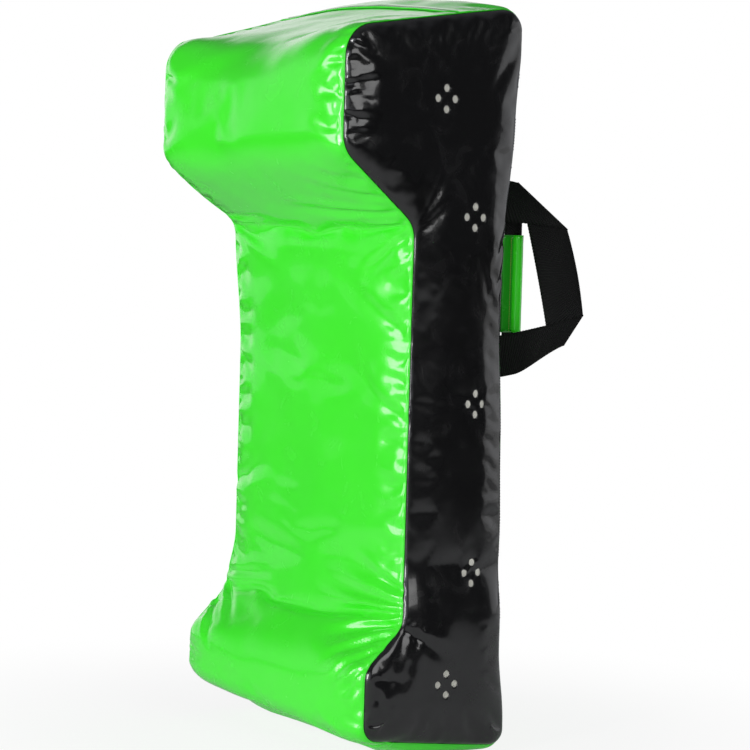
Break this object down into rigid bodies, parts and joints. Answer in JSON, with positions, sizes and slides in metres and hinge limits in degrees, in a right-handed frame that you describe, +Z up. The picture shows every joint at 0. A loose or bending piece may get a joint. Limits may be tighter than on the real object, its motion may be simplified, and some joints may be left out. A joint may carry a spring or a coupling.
{
  "type": "tackle wedge",
  "caption": "Freestanding foam tackle wedge in a sewn coated-fabric cover, with a deep head, a thin waist, a shallow foot, vented sides, and straps and hand grips on its back.",
  "frame": {"origin": "on the flat patch that the pad stands on, under its centre of mass", "axes": "+Z up, the front with its recess faces -Y, the straps stand off towards +Y, and the pictured black side is +X"},
  "size_m": [0.413, 0.3751, 0.9142],
  "materials": {
    "foam": "matte",
    "green_cover": "gloss",
    "black_cover": "gloss",
    "vent_mesh": "matte",
    "webbing": "matte",
    "zip_tape": "matte",
    "zip_coil": "satin",
    "zip_metal": "satin"
  },
  "bodies": {
    "pad": {"foam_spine": "foam", "foam_head": "foam", "foam_foot": "foam", "front_cover": "green_cover", "back_cover": "green_cover", "base_cover": "green_cover", "side_panel_right": "black_cover", "side_panel_left": "black_cover", "vent_mesh_right_1": "vent_mesh", "vent_mesh_right_2": "vent_mesh", "vent_mesh_right_3": "vent_mesh", "vent_mesh_right_4": "vent_mesh", "vent_mesh_right_5": "vent_mesh", "vent_mesh_left_1": "vent_mesh", "vent_mesh_left_2": "vent_mesh", "vent_mesh_left_3": "vent_mesh", "vent_mesh_left_4": "vent_mesh", "vent_mesh_left_5": "vent_mesh", "handle_patch_right_upper": "black_cover", "handle_patch_right_lower": "black_cover", "handle_patch_left_upper": "black_cover", "handle_patch_left_lower": "black_cover", "zip_tape_right": "zip_tape", "zip_tape_left": "zip_tape", "zip_chain": "zip_coil", "zip_bottom_stop": "zip_metal", "zip_top_stop": "zip_metal"},
    "strap_right": {"arm_strap_right": "webbing"},
    "strap_left": {"arm_strap_left": "webbing"},
    "grip_right": {"grip_webbing_right": "webbing", "grip_sleeve_right": "green_cover"},
    "grip_left": {"grip_webbing_left": "webbing", "grip_sleeve_left": "green_cover"},
    "slider": {"zip_slider": "zip_metal"},
    "pull": {"zip_pull": "zip_metal"}
  },
  "joints": [
    {"name": "strap_right_swing", "type": "hinge", "parent": "pad", "child": "strap_right", "pos_m": [0.147, 0.1016, 0], "axis": [0, 0, -1], "range_deg": [-20, 58]},
    {"name": "strap_left_swing", "type": "hinge", "parent": "pad", "child": "strap_left", "pos_m": [-0.147, 0.1016, 0], "axis": [0, 0, 1], "range_deg": [-20, 58]},
    {"name": "grip_right_swing", "type": "hinge", "parent": "pad", "child": "grip_right", "pos_m": [0.139, 0.1016, 0], "axis": [0, 0, -1], "range_deg": [-80, 18]},
    {"name": "grip_left_swing", "type": "hinge", "parent": "pad", "child": "grip_left", "pos_m": [-0.139, 0.1016, 0], "axis": [0, 0, 1], "range_deg": [-80, 18]},
    {"name": "zip_open", "type": "slide", "parent": "pad", "child": "slider", "axis": [0, 0, 1], "range_m": [0, 0.5798]},
    {"name": "zip_pull_lift", "type": "hinge", "parent": "slider", "child": "pull", "pos_m": [0, 0.1028, 0.1401], "axis": [1, 0, 0], "range_deg": [0, 150]}
  ]
}
